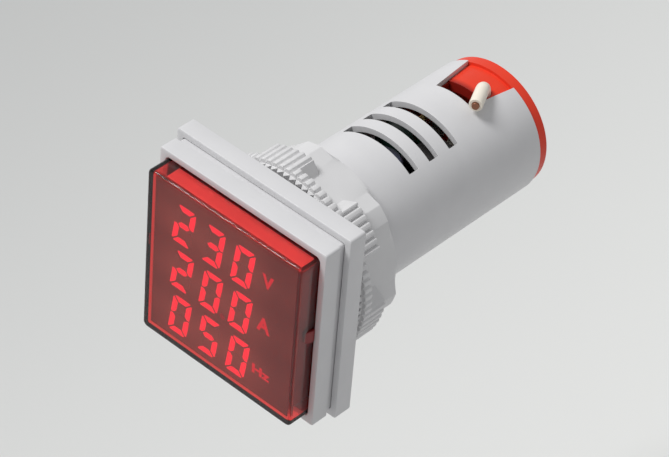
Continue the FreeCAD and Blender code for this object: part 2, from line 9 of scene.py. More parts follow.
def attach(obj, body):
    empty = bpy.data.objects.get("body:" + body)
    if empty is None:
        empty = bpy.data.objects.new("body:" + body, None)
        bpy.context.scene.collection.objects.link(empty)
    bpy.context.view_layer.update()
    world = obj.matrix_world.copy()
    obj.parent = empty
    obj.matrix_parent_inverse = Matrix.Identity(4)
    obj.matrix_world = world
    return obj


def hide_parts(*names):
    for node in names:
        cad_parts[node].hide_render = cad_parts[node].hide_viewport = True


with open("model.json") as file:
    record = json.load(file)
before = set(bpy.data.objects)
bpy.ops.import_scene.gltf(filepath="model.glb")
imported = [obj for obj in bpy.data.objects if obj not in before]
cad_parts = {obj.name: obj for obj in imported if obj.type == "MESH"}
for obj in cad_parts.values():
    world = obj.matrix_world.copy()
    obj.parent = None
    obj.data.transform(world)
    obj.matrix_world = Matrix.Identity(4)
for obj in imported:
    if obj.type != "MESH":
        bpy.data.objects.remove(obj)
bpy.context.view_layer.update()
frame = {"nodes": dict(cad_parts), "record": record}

# Lengths are in millimetres until a mesh is made. +Y runs to the rear, +Z is up, and the display faces -Y.
MM = 0.001

# Flange, neck and tail, as the solids have them
flange_half = 15.0
flange_corner = 0.4
flange_front = -2.75
pocket_half = 14.0
pocket_inset = 6
rear_inset = 1.0
inset_corner = 0.2
floor_face = -1.2
neck_radius = 11.0
neck_bore = 9.5
shoulder = 1.5
neck_end = 11.4
thread_crest = 10.75
thread_depth = 0.6
thread_pitch = 1.5
thread_start = 0.1
thread_chamfer = 0.35
thread_fade = 0.5
thread_steps = 12
ridge_gain = 1.3
groove_outer = 13.7
groove_inner = 11.9
groove_floor = -0.5
tail_front = 10.2
tail_radius = 9.85
tail_bore = 8.95
tail_end = 41.5
tail_across = 24
tail_down = 36
tail_step = 1.25
vent_centres = (19.7, 23.55, 27.4)
vent_width = 1.7
vent_half = 5.86
window_front = 33.8
window_front_half = 3.0
window_rear_half = 4.0
rail_gap = 0.1
rail_rear = 34.2
rail_near = 7.8
rail_far = 8.4
rail_levels = (-0.25, -2.35)
rail_height = 0.8
mould_edge = 0.12

# Gasket
gasket_inner = 12.0
gasket_outer = 13.6
gasket_front = -0.5
gasket_rear = 0.6
gasket_steps = 160

# Rear cap
boss_front = 36.6
# Painted shade on the rear cap: dark red in front of its boss, fading to the cap's red over the next
# millimetre behind it.
boss_painted_shade_fade = 1.0
boss_painted_shade = (0.3, 0.015, 0.01)

# Bezel frame and lens
bezel_half = 14.35
bezel_corner = 0.35
bezel_front = -6.4
bezel_back = -3.75
skirt_half = 13.9
skirt_hole = 12.5
lens_hole = 13.35
lens_hole_corner = 0.8
lens_seat = -4.2
lens_half = 13.25
lens_inside = 12.6
lens_corner = 0.7
lens_front = -9.6
lens_front_wall = 0.7
lens_tint = (0.985, 0.03, 0.0)
lens_density = 1900
tab_front = -8.0
tab_rise = 0.3
tab_levels = (0.0, 1.9)
tab_sunk = 0.1
tab_ramp = 0.9
tab_gap = 0.04
tab_edge = 0.08
display_face = -8.74
block_top = 11.55
# The pale top's stretch: a painted shade band behind the face comes before it, and a painted shadow toward
# the bezel comes after its rear end.
front_painted_shade_margin = 0.35
painted_light_rear = -5.6

# Figures and legends on the display's face. A legend is its name, its letters, its left and right, and
# its foot and head.
figure_columns = (-7.05, -1.88, 3.29)
figure_rows = {"volt": (7.17, "230"), "amp": (-0.43, "200"), "hertz": (-8.03, "050")}
lit_bars = {"0": "abcdef", "2": "abdeg", "3": "abcdg", "5": "acdfg"}
row_pitch = 7.6
figure_width = 3.3
figure_height = 6.3
figure_slant = 8.0
bar_stroke = 0.85
bar_gap = 0.26
bar_corner = 0.45
bar_proud = 0.045
bar_depth = 0.45
film_margin = 0.05
film_colour = (0.09, 0.075, 0.065)
# Painted shade: the deep red of the display block's sides.
side_painted_shade = (0.17, 0.015, 0.015)
# The painted glow on the film and the unlit bars, for the digits' light.
glow_colour = (0.85, 1.0, 0.8)
glow_strength = 0.15
glow_between_rows = 0.65
glow_reach = (6.0, 12.0)
glow_at_sides = 0.4
# Painted light: the red glow on the display block's pale top.
top_painted_glow_colour = (1.0, 0.05, 0.03)
top_painted_glow_strength = 0.25
legends = (
    ("volt_legend", "V", (6.6, 8.6), (6.3, 8.5)),
    ("ampere_legend", "A", (6.2, 8.5), (-1.1, 1.3)),
    ("hertz_legend", "Hz", (5.9, 9.0), (-8.75, -7.2)))
legend_weight = 0.042
legend_proud = 0.05
legend_glow = (0.6, 0.05, 0.12, 1)

# Nut
nut_tips = 1.6
nut_front = 2.3
nut_rim_rear = 3.6
nut_lug_rear = 6.4
nut_rear = 10.7
nut_bore = 10.8
nut_relief = 11.1
nut_relief_end = 3.8
nut_flat = 11.8
nut_corner = 12.996
nut_chamfer = 0.8
nut_turn = 13.0
nut_soft = 0.1
nut_eased = 0.3
nut_step = 0.02
nut_edge = 0.06
nut_bore_chamfer = 0.25
nut_columns = 12
tooth_gain = 1.15
rib_count = 80
rib_tip = 14.096
rib_depth = 0.4
rib_flat_share = 0.4
crown_inner = 12.296
crown_outer = 13.496
lug_half_angle = 13.0
lug_slope = 42.0

# The camera of the photograph, its place in metres
camera_place = Vector((0.19591, -0.22312, 0.26157))
camera_right = Vector((0.72919, 0.68117, 0.06543))
camera_ahead = Vector((-0.48606, 0.58287, -0.65116))
camera_lens = 167.07
camera_sensor = 36.0
camera_clip = (0.01, 20)

# The studio, its lengths in metres
floor_half = 3.0
floor_level = -0.075
# The floor's painted fall-off of light: its colour runs from the darker left to the paler right over this
# span of x.
paper_painted_falloff = (-0.2, 0.05)
paper_painted_shade = (0.5, 0.505, 0.5)
paper_painted_light = (0.79, 0.795, 0.78)
paper_bounce = (0.51, 0.51, 0.51)
sky_bounce = (0.37, 0.375, 0.38)
sky_seen = (0.64, 0.64, 0.64)
lamp_energy = 2.35
lamp_spread = 22
lamp_side = (-0.5, -0.45, 1.0)

# Finishes: the noise scales are to a metre, and the grain's height is in metres
drift_scale = 220
drift_detail = 3.0
grain_scale = 6000
grain_height = 0.00005

# Meshes: angles in degrees, distances in metres
sharp_angle = 30
bevel_angle = 40
bevel_segments = 2
merge_distance = 1e-8
solid_merge_distance = 1e-7
flat_angle = 1


def add_camera():
    """The photograph's camera: its place, the way it looks, and its right-hand side, which sets the roll."""
    data = bpy.data.cameras.new("photo_camera")
    data.lens = camera_lens
    data.sensor_width = camera_sensor
    data.clip_start = camera_clip[0]
    data.clip_end = camera_clip[1]
    camera = bpy.data.objects.new("photo_camera", data)
    up = camera_right.cross(camera_ahead)
    turn = Matrix((camera_right, up, -camera_ahead)).transposed()
    camera.matrix_world = Matrix.Translation(camera_place) @ turn.to_4x4()
    bpy.context.scene.collection.objects.link(camera)
    bpy.context.scene.camera = camera


def feed(tree, socket, value):
    """Gives an input a number or colour, or joins another node's output to it."""
    if isinstance(value, bpy.types.NodeSocket):
        tree.links.new(value, socket)
    else:
        socket.default_value = value


def maths(tree, operation, *values):
    """The result of a Math node over numbers and sockets."""
    node = tree.nodes.new("ShaderNodeMath")
    node.operation = operation
    for socket, value in zip(node.inputs, values):
        feed(tree, socket, value)
    return node.outputs[0]


def mapped(tree, value, from_low, from_high, to_low=0.0, to_high=1.0, smooth=False):
    """A socket's value carried from one range to another, and held at the ends."""
    node = tree.nodes.new("ShaderNodeMapRange")
    if smooth:
        node.interpolation_type = "SMOOTHSTEP"
    node.inputs["From Min"].default_value = from_low
    node.inputs["From Max"].default_value = from_high
    node.inputs["To Min"].default_value = to_low
    node.inputs["To Max"].default_value = to_high
    tree.links.new(value, node.inputs["Value"])
    return node.outputs["Result"]


def own_axes(tree):
    """The X, Y and Z sockets of a piece's own coordinates, in metres."""
    parts = tree.nodes.new("ShaderNodeSeparateXYZ")
    tree.links.new(tree.nodes.new("ShaderNodeTexCoord").outputs["Object"], parts.inputs[0])
    return parts.outputs


def seen_directly(tree):
    """A value of 1 for camera, glossy and transmission rays, and 0 for the rest."""
    rays = tree.nodes.new("ShaderNodeLightPath").outputs
    seen = maths(tree, "MAXIMUM", rays["Is Camera Ray"], rays["Is Glossy Ray"])
    return maths(tree, "MAXIMUM", seen, rays["Is Transmission Ray"])


def mixed_colour(tree, factor, low, high):
    """A colour between low and high by a factor socket. Each of the two is a colour or a socket."""
    mix = tree.nodes.new("ShaderNodeMix")
    mix.data_type = "RGBA"
    for name, colour in (("A", low), ("B", high)):
        plain = not isinstance(colour, bpy.types.NodeSocket)
        feed(tree, mix.inputs[name], (*colour, 1) if plain else colour)
    tree.links.new(factor, mix.inputs["Factor"])
    return mix.outputs["Result"]


def add_stage():
    """A pale floor well below the meter, an even sky, and one lamp from the front, upper left.

    The floor's colour is painted darker at the left and paler at the right: a painted fall-off of light.
    """
    bpy.context.scene.view_settings.view_transform = "Standard"
    mesh = bpy.data.meshes.new("studio_floor")
    sides = ((-1, -1), (1, -1), (1, 1), (-1, 1))
    mesh.from_pydata([(x * floor_half, y * floor_half, floor_level) for x, y in sides], [], [(0, 1, 2, 3)])
    floor = bpy.data.objects.new("studio_floor", mesh)
    bpy.context.scene.collection.objects.link(floor)
    paper = bpy.data.materials.new("studio_paper")
    paper.use_nodes = True
    tree = paper.node_tree
    shader = tree.nodes["Principled BSDF"]
    shader.inputs["Roughness"].default_value = 0.9
    shader.inputs["Specular IOR Level"].default_value = 0.1
    # Painted light: the floor's colour is painted from darker at the left to paler at the right.
    across = mapped(tree, own_axes(tree)["X"], *paper_painted_falloff, smooth=True)
    pale = mixed_colour(tree, across, paper_painted_shade, paper_painted_light)
    colour = mixed_colour(tree, seen_directly(tree), paper_bounce, pale)
    tree.links.new(colour, shader.inputs["Base Color"])
    mesh.materials.append(paper)

    world = bpy.data.worlds.new("studio_sky")
    bpy.context.scene.world = world
    world.use_nodes = True
    tree = world.node_tree
    sky = tree.nodes["Background"]
    sky.inputs["Strength"].default_value = 1.0
    colour = mixed_colour(tree, seen_directly(tree), sky_bounce, sky_seen)
    tree.links.new(colour, sky.inputs["Color"])

    data = bpy.data.lights.new("soft_lamp", "SUN")
    data.energy = lamp_energy
    data.angle = math.radians(lamp_spread)
    lamp = bpy.data.objects.new("soft_lamp", data)
    lamp.rotation_euler = Vector(lamp_side).to_track_quat("Z", "Y").to_euler()
    bpy.context.scene.collection.objects.link(lamp)


def noise(tree, coordinates, scale, detail=2.0):
    """A noise texture in the piece's own metres."""
    node = tree.nodes.new("ShaderNodeTexNoise")
    node.inputs["Scale"].default_value = scale
    node.inputs["Detail"].default_value = detail
    tree.links.new(coordinates, node.inputs["Vector"])
    return node.outputs["Fac"]


def ranged(tree, value, low, high):
    """The middle of a noise's values, 0.3 to 0.7, spread over low to high."""
    return mapped(tree, value, 0.3, 0.7, low, high)


def finish_material(name, colour, vary=0.04, rough=0.45, rough_vary=0.05, bump=0.04, **sockets):
    """A Principled finish: its colour drifts over millimetres, and a fine raised grain varies the gloss."""
    material = bpy.data.materials.new(name)
    material.use_nodes = True
    tree = material.node_tree
    shader = tree.nodes["Principled BSDF"]
    place = tree.nodes.new("ShaderNodeTexCoord").outputs["Object"]
    low = [c * (1 - vary) for c in colour]
    high = [min(1.0, c * (1 + vary)) for c in colour]
    drift = ranged(tree, noise(tree, place, drift_scale, drift_detail), 0, 1)
    tree.links.new(mixed_colour(tree, drift, low, high), shader.inputs["Base Color"])
    fine = noise(tree, place, grain_scale)
    tree.links.new(ranged(tree, fine, rough - rough_vary, rough + rough_vary), shader.inputs["Roughness"])
    if bump:
        raised = tree.nodes.new("ShaderNodeBump")
        raised.inputs["Strength"].default_value = bump
        raised.inputs["Distance"].default_value = grain_height
        tree.links.new(fine, raised.inputs["Height"])
        tree.links.new(raised.outputs["Normal"], shader.inputs["Normal"])
    for socket, value in sockets.items():
        shader.inputs[socket.replace("_", " ")].default_value = value
    return material


def lens_material():
    """The lens: clear polished plastic whose depth takes the green and blue out of what passes."""
    material = finish_material(
        "tinted_lens", (0.985, 0.97, 0.97), vary=0.01, rough=0.07, rough_vary=0.01, bump=0,
        Transmission_Weight=1.0, IOR=1.42, Specular_IOR_Level=0.25)
    tree = material.node_tree
    depth = tree.nodes.new("ShaderNodeVolumeAbsorption")
    depth.inputs["Color"].default_value = (*lens_tint, 1)
    depth.inputs["Density"].default_value = lens_density
    tree.links.new(depth.outputs["Volume"], tree.nodes["Material Output"].inputs["Volume"])
    return material


def display_material():
    """The display block: pale on top, where a painted red glow stands for the lamp's light through the lens;
    painted
    shade elsewhere: deep red at its sides, and on top just behind the face and toward the bezel. A dark film
    is on its face.

    The film glows faintly, a painted glow for the digits' light: most round each row of figures and less
    toward the sides.
    """
    material = finish_material("display_body", (0.8, 0.79, 0.78), rough=0.5)
    tree = material.node_tree
    shader = tree.nodes["Principled BSDF"]
    body = shader.inputs["Base Color"].links[0].from_socket
    axes = own_axes(tree)
    # Painted light: the pale top with its red glow, held between a painted shade band behind the face and a
    # painted shadow toward the bezel.
    on_top = maths(tree, "GREATER_THAN", axes["Z"], block_top * MM)
    behind = maths(tree, "GREATER_THAN", axes["Y"], (display_face + front_painted_shade_margin) * MM)
    before = maths(tree, "LESS_THAN", axes["Y"], painted_light_rear * MM)
    pale = maths(tree, "MULTIPLY", maths(tree, "MULTIPLY", before, behind), on_top)
    on_face = maths(tree, "LESS_THAN", axes["Y"], (display_face + film_margin) * MM)
    # Painted shade: the sides, and the top outside its pale stretch, take the deep red side colour; the face
    # takes the film.
    dark = mixed_colour(tree, on_face, side_painted_shade, film_colour)
    tree.links.new(mixed_colour(tree, pale, dark, body), shader.inputs["Base Color"])

    # Painted glow on the film: brightest round each row of figures, fading toward the sides.
    turn = 2 * math.pi / (row_pitch * MM)
    waves = maths(tree, "MULTIPLY_ADD", axes["Z"], turn, -2 * math.pi * figure_rows["amp"][0] / row_pitch)
    rows = mapped(tree, maths(tree, "COSINE", waves), -1.0, 1.0, glow_between_rows, 1.0)
    off = maths(tree, "ABSOLUTE", maths(tree, "ADD", axes["X"], -figure_columns[1] * MM))
    near = mapped(tree, off, glow_reach[0] * MM, glow_reach[1] * MM, 1.0, glow_at_sides, smooth=True)
    glow = maths(tree, "MULTIPLY", maths(tree, "MULTIPLY", rows, near), on_face)
    # Emission: the film's painted glow, and the painted red glow on the pale top.
    painted_glow_mix = tree.nodes.new("ShaderNodeMix")
    painted_glow_mix.data_type = "FLOAT"
    feed(tree, painted_glow_mix.inputs["Factor"], pale)
    feed(tree, painted_glow_mix.inputs["A"], maths(tree, "MULTIPLY", glow, glow_strength))
    feed(tree, painted_glow_mix.inputs["B"], top_painted_glow_strength)
    tree.links.new(painted_glow_mix.outputs["Result"], shader.inputs["Emission Strength"])
    tint = mixed_colour(tree, pale, glow_colour, top_painted_glow_colour)
    tree.links.new(tint, shader.inputs["Emission Color"])
    return material


def cap_material():
    """The rear cap: red plastic, painted dark red in front of its boss, a painted shade for the shadow there.
    """
    material = finish_material(
        "terminal_cap_plastic", (0.82, 0.055, 0.025), vary=0.05, rough=0.34, rough_vary=0.06,
        Specular_IOR_Level=0.2)
    tree = material.node_tree
    base = tree.nodes["Principled BSDF"].inputs["Base Color"]
    red = base.links[0].from_socket
    # Painted shade: toward the front of the boss the red gives way to the dark boss colour.
    depth = mapped(tree, own_axes(tree)["Y"], boss_front * MM, (boss_front + boss_painted_shade_fade) * MM)
    tree.links.new(mixed_colour(tree, depth, boss_painted_shade, red), base)
    return material


def make_materials():
    """Each material slot's finish. A plain one is its colour, its roughness and what else is its own."""
    lit = {"bump": 0, "Emission_Color": (1.0, 0.1, 0.24, 1), "Emission_Strength": 0.9}
    # The unlit bars share the film's painted glow.
    unlit = {"bump": 0, "Emission_Color": (*glow_colour, 1), "Emission_Strength": glow_strength * 0.9}
    metal = {"bump": 0.02, "Metallic": 1.0}
    plain = {
        "light_grey_plastic": ((0.7, 0.695, 0.705), 0.42, {"vary": 0.02}),
        "nut_plastic": ((0.73, 0.725, 0.73), 0.45, {"vary": 0.02}),
        "gasket_rubber": ((0.03, 0.03, 0.032), 0.7, {"bump": 0.1}),
        "lit_segment": ((0.5, 0.02, 0.03), 0.5, lit),
        "unlit_segment": (film_colour, 0.5, unlit),
        "pin_metal": ((0.72, 0.7, 0.66), 0.3, metal),
        "board": ((0.02, 0.13, 0.07), 0.35, {"vary": 0.15}),
        "chip_epoxy": ((0.02, 0.02, 0.023), 0.55, {"bump": 0.1}),
        "capacitor_sleeve": ((0.03, 0.035, 0.07), 0.35, {}),
        # The capacitor box and the varistor are painted near black: a painted shade for the dim inside of the
        # tail.
        "capacitor_box": ((0.03, 0.028, 0.028), 0.5, {}),
        "varistor_coat": ((0.008, 0.03, 0.022), 0.35, {}),
        "resistor_coat": ((0.35, 0.3, 0.2), 0.55, {}),
        "terminal_brass": ((0.72, 0.52, 0.2), 0.28, metal),
        "screw_steel": ((0.62, 0.62, 0.63), 0.3, metal),
        "lead_insulation": ((0.94, 0.87, 0.75), 0.4, {}),
        "copper_core": ((0.3, 0.14, 0.09), 0.5, metal),
    }
    made = {
        "tinted_lens": lens_material(),
        "display_face": display_material(),
        "terminal_cap_plastic": cap_material(),
    }
    for slot, (colour, rough, more) in plain.items():
        made[slot] = finish_material(slot, colour, rough=rough, **more)
    return made


def add_piece(name, points, faces, body, slot, nodes, edge=0.0):
    """A mesh in its place from points in millimetres: shaded by angle, its edges rounded by edge."""
    mesh = bpy.data.meshes.new(name)
    mesh.from_pydata((np.asarray(points) * MM).tolist(), [], faces)
    shape = bmesh.new()
    shape.from_mesh(mesh)
    bmesh.ops.remove_doubles(shape, verts=shape.verts, dist=merge_distance)
    bmesh.ops.recalc_face_normals(shape, faces=shape.faces)
    shape.to_mesh(mesh)
    shape.free()
    return add_object(name, mesh, body, slot, nodes, edge)


def add_object(name, mesh, body, slot, nodes, edge):
    """The object of a finished mesh, with its material, body, slot and the nodes that it stands for."""
    mesh.shade_smooth()
    mesh.set_sharp_from_angle(angle=math.radians(sharp_angle))
    mesh.materials.clear()
    mesh.materials.append(materials[slot])
    piece = bpy.data.objects.new(name, mesh)
    bpy.context.scene.collection.objects.link(piece)
    if edge:
        bevel = piece.modifiers.new("edge_rounding", "BEVEL")
        bevel.width = edge * MM
        bevel.segments = bevel_segments
        bevel.limit_method = "ANGLE"
        bevel.angle_limit = math.radians(bevel_angle)
        bevel.harden_normals = False
    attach(piece, body)
    if nodes:
        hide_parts(*nodes)
    return piece


def ring_faces(rows, columns, closed):
    """Quads of a grid whose columns close on themselves. Its rows close too, or else each end gets a face."""
    index = np.arange(rows * columns).reshape(rows, columns)
    beside = np.roll(index, -1, axis=1)
    ahead = np.roll(index, -1, axis=0)
    corner = np.roll(beside, -1, axis=0)
    quads = np.stack([index, beside, corner, ahead], axis=-1)
    if not closed:
        quads = quads[:-1]
    faces = quads.reshape(-1, 4).tolist()
    if not closed:
        faces += [index[0].tolist(), index[-1].tolist()]
    return faces


def softened(section, steps=4):
    """A closed or open section whose corners are rounded: each row is its sizes, then its rounding.

    A corner P is cut back by its rounding on both sides, to A and B, and crossed by the curve
    (1 - t)^2 A + 2 t (1 - t) P + t^2 B.
    """
    rows = np.asarray(section, float)
    sizes = rows[:, :-1]
    cut = rows[:, -1]
    before = np.roll(sizes, 1, axis=0) - sizes
    after = np.roll(sizes, -1, axis=0) - sizes
    reach_before = np.linalg.norm(before[:, :2], axis=1)[:, None]
    reach_after = np.linalg.norm(after[:, :2], axis=1)[:, None]
    t = np.linspace(0, 1, steps)[:, None]
    made = []
    for place in range(len(rows)):
        if cut[place] == 0:
            made.append(sizes[place:place + 1])
            continue
        first = sizes[place] + before[place] / reach_before[place] * cut[place]
        last = sizes[place] + after[place] / reach_after[place] * cut[place]
        made.append((1 - t) ** 2 * first + 2 * t * (1 - t) * sizes[place] + t ** 2 * last)
    return np.concatenate(made)


def square_outline(half, corner, arc=10, side=26):
    """Rounded squares, one to a row: straight sides at +-half joined by quarter arcs of radius corner."""
    half = np.asarray(half, float)[:, None]
    corner = np.asarray(corner, float)[:, None]
    turn = np.linspace(0, math.pi / 2, arc)[None, :]
    share = np.linspace(0, 1, side + 2)[None, 1:-1]
    straight = half - corner
    x = np.concatenate([straight + corner * np.cos(turn), straight * (1 - 2 * share)], axis=1)
    z = np.concatenate([straight + corner * np.sin(turn), half + 0 * share], axis=1)
    quarters_x = [x, -z, -x, z]
    quarters_z = [z, x, -z, -x]
    return np.concatenate(quarters_x, axis=1), np.concatenate(quarters_z, axis=1)


def square_rings(sizes):
    """Rings of points for rows of (half side, y, corner)."""
    x, z = square_outline(sizes[:, 0], sizes[:, 2])
    y = np.repeat(sizes[:, 1:2], x.shape[1], axis=1)
    return np.stack([x, y, z], axis=-1)


def round_rings(radii, levels, angles):
    """Rings of points round the axis. Radii and levels are one to a row, or one to each row and angle."""
    radii = np.broadcast_to(np.asarray(radii, float).reshape(len(radii), -1), (len(radii), len(angles)))
    levels = np.broadcast_to(np.asarray(levels, float).reshape(len(levels), -1), radii.shape)
    return np.stack([radii * np.cos(angles), levels, radii * np.sin(angles)], axis=-1)


def prism_faces(corners, start=0):
    """The two ends and the sides of a prism whose points are one end's corners and then the other's."""
    near = [start + k for k in range(corners)]
    far = [k + corners for k in near]
    sides = [[near[k], near[(k + 1) % corners], far[(k + 1) % corners], far[k]] for k in range(corners)]
    return [near, far] + sides


def add_bezel():
    """The bezel frame: one closed section carried round a rounded square."""
    skirt_corner = 0.5
    section = softened([
        (lens_hole, bezel_front, lens_hole_corner, 0.12),
        (bezel_half, bezel_front, bezel_corner, 0.2),
        (bezel_half, bezel_back, bezel_corner, 0.15),
        (skirt_half, bezel_back, bezel_corner, 0.05),
        (skirt_half, floor_face, bezel_corner, 0.1),
        (skirt_hole, floor_face, skirt_corner, 0.1),
        (skirt_hole, lens_seat, skirt_corner, 0.1),
        (lens_hole, lens_seat, lens_hole_corner, 0.05)])
    rings = square_rings(section)
    faces = ring_faces(len(section), rings.shape[1], True)
    add_piece("bezel_surround", rings.reshape(-1, 3), faces, "housing", "light_grey_plastic", ["bezel_frame"])


def add_lens():
    """The lens: a square cap whose section runs from the front's middle round the open rim to the inside."""
    centre = 0.5
    centre_corner = 0.1
    inset = 1.5
    inset_bend = 0.5
    inner_front = lens_front + lens_front_wall
    inner_corner = 0.25
    section = [
        (centre, lens_front, centre_corner, 0), (lens_half - inset, lens_front, inset_bend, 0),
        (lens_half, lens_front, lens_corner, 0.4), (lens_half, lens_seat, lens_corner, 0.06),
        (lens_inside, lens_seat, inner_corner, 0.06), (lens_inside, inner_front, inner_corner, 0.1),
        (centre, inner_front, centre_corner, 0)]
    sizes = softened(section, steps=7)
    rings = square_rings(sizes)
    faces = ring_faces(len(sizes), rings.shape[1], False)
    add_piece("lens_shell", rings.reshape(-1, 3), faces, "housing", "tinted_lens", ["lens_cap"])


def add_lens_tabs():
    """The snap tab on each side of the lens: a wedge that rises toward the bezel, painted an opaque deep red,
    a painted shade of the lens's red.
    """
    root = lens_half - tab_sunk
    top = lens_half + tab_rise
    rear = bezel_front - tab_gap
    section = np.array([(root, tab_front), (top, tab_front + tab_ramp), (top, rear), (root, rear)])
    corners = len(section)
    # Painted shade: the tabs take a dark, opaque copy of the lens's red.
    painted_shade_red = finish_material("lens_tab", (0.2, 0.008, 0.01), rough=0.5, bump=0)
    for name, side in (("left", -1), ("right", 1)):
        ends = [np.stack([side * section[:, 0], section[:, 1], np.full(corners, z)], axis=1)
                for z in tab_levels]
        tab = add_piece(
            "lens_tab_" + name, np.concatenate(ends), prism_faces(corners), "housing", "tinted_lens", [],
            tab_edge)
        tab.data.materials[0] = painted_shade_red


def thread_radius(levels, angles):
    """A helical ridge: the radius falls from the crest beside it, and the groove fades at both ends."""
    turns = levels[:, None] / thread_pitch - angles[None, :] / (2 * math.pi)
    share = np.abs((turns % 1.0) - 0.5) * 2
    ridge = np.clip(ridge_gain * (1 - share), 0, 1)
    fade_in = np.clip((levels - shoulder) / thread_pitch, 0, 1)
    fade_out = np.clip((neck_end - thread_chamfer - levels) / thread_fade, 0, 1)
    return thread_crest - thread_depth * (1 - ridge) * (fade_in * fade_out)[:, None]


def flange_and_neck():
    """The flange's square rings, the rings of its rear face and groove, and the threaded neck to its bore."""
    outline_x, outline_z = square_outline([flange_half], [flange_corner])
    angles = np.arctan2(outline_z[0], outline_x[0])
    pocket = softened([
        (pocket_half - pocket_inset, floor_face, inset_corner, 0),
        (pocket_half, floor_face, flange_corner, 0.15),
        (pocket_half, flange_front, flange_corner, 0.1), (flange_half, flange_front, flange_corner, 0.15),
        (flange_half, 0.0, flange_corner, 0.15), (flange_half - rear_inset, 0.0, inset_corner, 0)])[1:]
    rear = softened([
        (groove_outer, 0.0, 0.06), (groove_outer, groove_floor, 0.0), (groove_inner, groove_floor, 0.0),
        (groove_inner, 0.0, 0.06), (neck_radius, 0.0, 0.0), (neck_radius, shoulder, 0.06),
        (thread_crest, shoulder, 0.0)])
    levels = np.arange(shoulder + thread_start, neck_end - thread_chamfer, thread_pitch / thread_steps)
    end = np.array([
        (thread_crest, neck_end - thread_chamfer), (thread_crest - thread_chamfer, neck_end),
        (neck_bore, neck_end), (neck_bore, floor_face)])
    rings = [
        square_rings(pocket), round_rings(rear[:, 0], rear[:, 1], angles),
        round_rings(thread_radius(levels, angles), levels, angles), round_rings(end[:, 0], end[:, 1], angles)]
    return np.concatenate(rings)


def split_levels(marks, longest):
    """Levels between the marks, no further apart than longest."""
    made = []
    for low, high in zip(marks[:-1], marks[1:]):
        count = max(1, math.ceil((high - low) / longest))
        made.append(np.linspace(low, high, count, endpoint=False))
    return np.concatenate(made + [marks[-1:]])


def tail_surface(radius, levels, top_half, bottom_half):
    """Points of the tail at a radius: across the top by x, down the side by angle, and so on round.

    The top and bottom stretches keep the same x at every radius, so the walls of the cuts stand upright.
    """
    share = np.linspace(1, -1, tail_across, endpoint=False)[None, :]
    fall = np.linspace(0, 1, tail_down, endpoint=False)[None, :]
    top = top_half[:, None]
    bottom = bottom_half[:, None]
    top_angle = np.arcsin(top / radius)
    bottom_angle = math.pi - np.arcsin(bottom / radius)
    side = top_angle + (bottom_angle - top_angle) * fall
    back = bottom_angle + (top_angle - bottom_angle) * fall
    x = np.concatenate([top * share, -radius * np.sin(side), -bottom * share, radius * np.sin(back)], axis=1)
    z = np.concatenate([
        np.sqrt(radius ** 2 - (top * share) ** 2), radius * np.cos(side),
        -np.sqrt(radius ** 2 - (bottom * share) ** 2), radius * np.cos(back)], axis=1)
    y = np.repeat(levels[:, None], x.shape[1], axis=1)
    return np.stack([x, y, z], axis=-1)


def tail_shell():
    """The tail's tube: an outer and an inner grid, with the cells of the vents and the window left out."""
    edges = [c + s * vent_width / 2 for c in vent_centres for s in (-1, 1)]
    levels = split_levels(np.array([tail_front, neck_end] + edges + [window_front, tail_end]), tail_step)
    share = np.clip((levels - edges[-1]) / (window_front - edges[-1]), 0, 1)
    flare = np.clip((levels - window_front) / (tail_end - window_front), 0, 1)
    top_half = vent_half + (window_front_half - vent_half) * share
    top_half = top_half + (window_rear_half - window_front_half) * flare
    bottom_half = np.full(len(levels), vent_half)
    outer = tail_surface(tail_radius, levels, top_half, bottom_half)
    inner = tail_surface(tail_bore, levels, top_half, bottom_half)
    rows, columns = outer.shape[:2]
    middle = (levels[:-1] + levels[1:]) / 2
    in_vent = np.any([np.abs(middle - c) < vent_width / 2 for c in vent_centres], axis=0)
    place = np.arange(columns)
    on_top = place < tail_across
    below = (place >= tail_across + tail_down) & (place < 2 * tail_across + tail_down)
    kept = ~((in_vent[:, None] & (on_top | below)) | ((middle > window_front)[:, None] & on_top))
    index = np.arange(rows * columns).reshape(rows, columns)
    beside = np.roll(index, -1, axis=1)
    cells = np.stack([index[:-1], beside[:-1], beside[1:], index[1:]], axis=-1)[kept]
    gap = rows * columns
    edge_rows = np.diff(np.pad(kept, ((1, 1), (0, 0))).astype(int), axis=0) != 0
    edge_columns = kept != np.roll(kept, 1, axis=1)
    along = np.stack([index, beside, beside + gap, index + gap], axis=-1)[edge_rows]
    upright = np.stack([index[:-1], index[1:], index[1:] + gap, index[:-1] + gap], axis=-1)[edge_columns]
    faces = np.concatenate([cells, cells + gap, along, upright])
    points = np.concatenate([outer.reshape(-1, 3), inner.reshape(-1, 3)])
    return points, faces


def rail_block(x0, x1, y0, y1, z0, z1):
    """The corners and faces of a plain rail."""
    points = np.array([(x, y, z) for x in (x0, x1) for y in (y0, y1) for z in (z0, z1)])
    faces = np.array([(0, 1, 3, 2), (4, 6, 7, 5), (0, 4, 5, 1), (2, 3, 7, 6), (0, 2, 6, 4), (1, 5, 7, 3)])
    return points, faces


def add_body():
    """The body moulding: flange with neck, the tail's tube, and the rails that hold the main board."""
    rings = flange_and_neck()
    points = [rings.reshape(-1, 3)]
    faces = ring_faces(rings.shape[0], rings.shape[1], True)
    parts = [tail_shell()]
    for side in (-1, 1):
        near, far = sorted((side * rail_near, side * rail_far))
        for low in rail_levels:
            parts.append(rail_block(near, far, tail_front + rail_gap, rail_rear, low, low + rail_height))
    for more_points, more_faces in parts:
        start = sum(len(p) for p in points)
        points.append(more_points)
        faces += (more_faces + start).tolist()
    points = np.concatenate(points)
    add_piece("body_moulding", points, faces, "housing", "light_grey_plastic", ["body_housing"], mould_edge)


